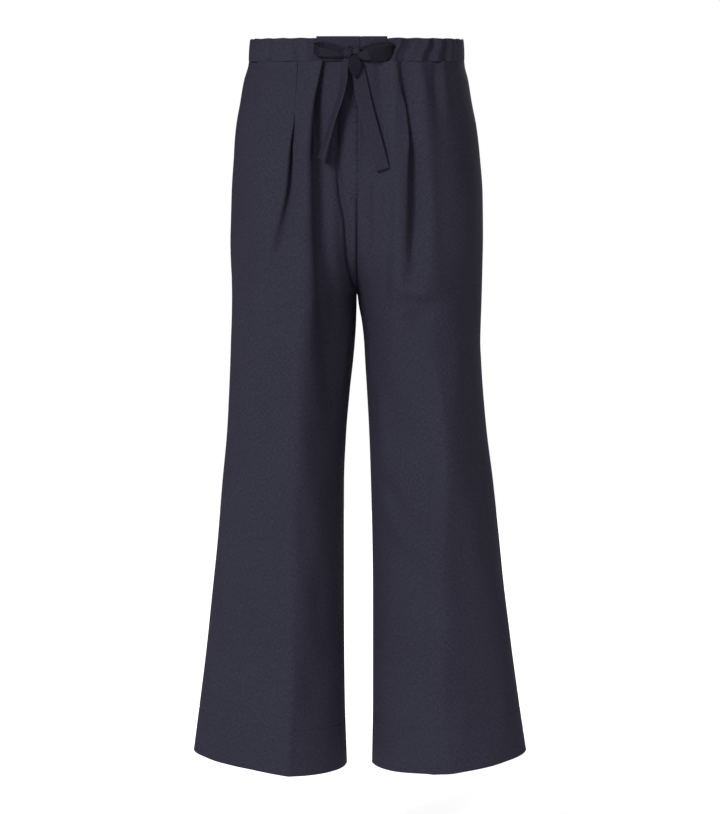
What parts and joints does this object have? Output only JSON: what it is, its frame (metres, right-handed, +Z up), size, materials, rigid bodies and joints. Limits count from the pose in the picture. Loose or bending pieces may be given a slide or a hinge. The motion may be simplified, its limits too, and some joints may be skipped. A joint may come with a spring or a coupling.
{
  "type": "wide-leg trousers",
  "caption": "Long wide-leg trousers with a gathered drawstring waist, pleated front and fly, hollow as when worn.",
  "frame": {"origin": "middle of the waist at half the height of the waistband, where a wearer holds the trousers up", "axes": "+Z up out of the waist, -Y towards the wearer's front, +X towards the wearer's left leg"},
  "size_m": [0.4936, 0.2741, 1.0619],
  "materials": {
    "worsted_wool": "dark navy worsted wool, fine weave, soft sheen",
    "drawstring_wool": "dark navy worsted wool tape, pressed edges"
  },
  "bodies": {
    "root": {"front_right_hip": "worsted_wool", "front_right_thigh": "worsted_wool", "front_right_knee": "worsted_wool", "front_right_hem": "worsted_wool", "front_left_hip": "worsted_wool", "front_left_thigh": "worsted_wool", "front_left_knee": "worsted_wool", "front_left_hem": "worsted_wool", "back_right_hip": "worsted_wool", "back_right_thigh": "worsted_wool", "back_right_knee": "worsted_wool", "back_right_hem": "worsted_wool", "back_left_hip": "worsted_wool", "back_left_thigh": "worsted_wool", "back_left_knee": "worsted_wool", "back_left_hem": "worsted_wool", "fly_panel": "worsted_wool", "band_front_right": "worsted_wool", "band_front_left": "worsted_wool", "band_casing": "worsted_wool", "tie_knot": "drawstring_wool", "tie_wrap": "drawstring_wool", "tie_loop_right": "drawstring_wool", "tie_loop_left": "drawstring_wool", "tie_tail_right": "drawstring_wool", "tie_tail_left": "drawstring_wool"}
  },
  "joints": []
}
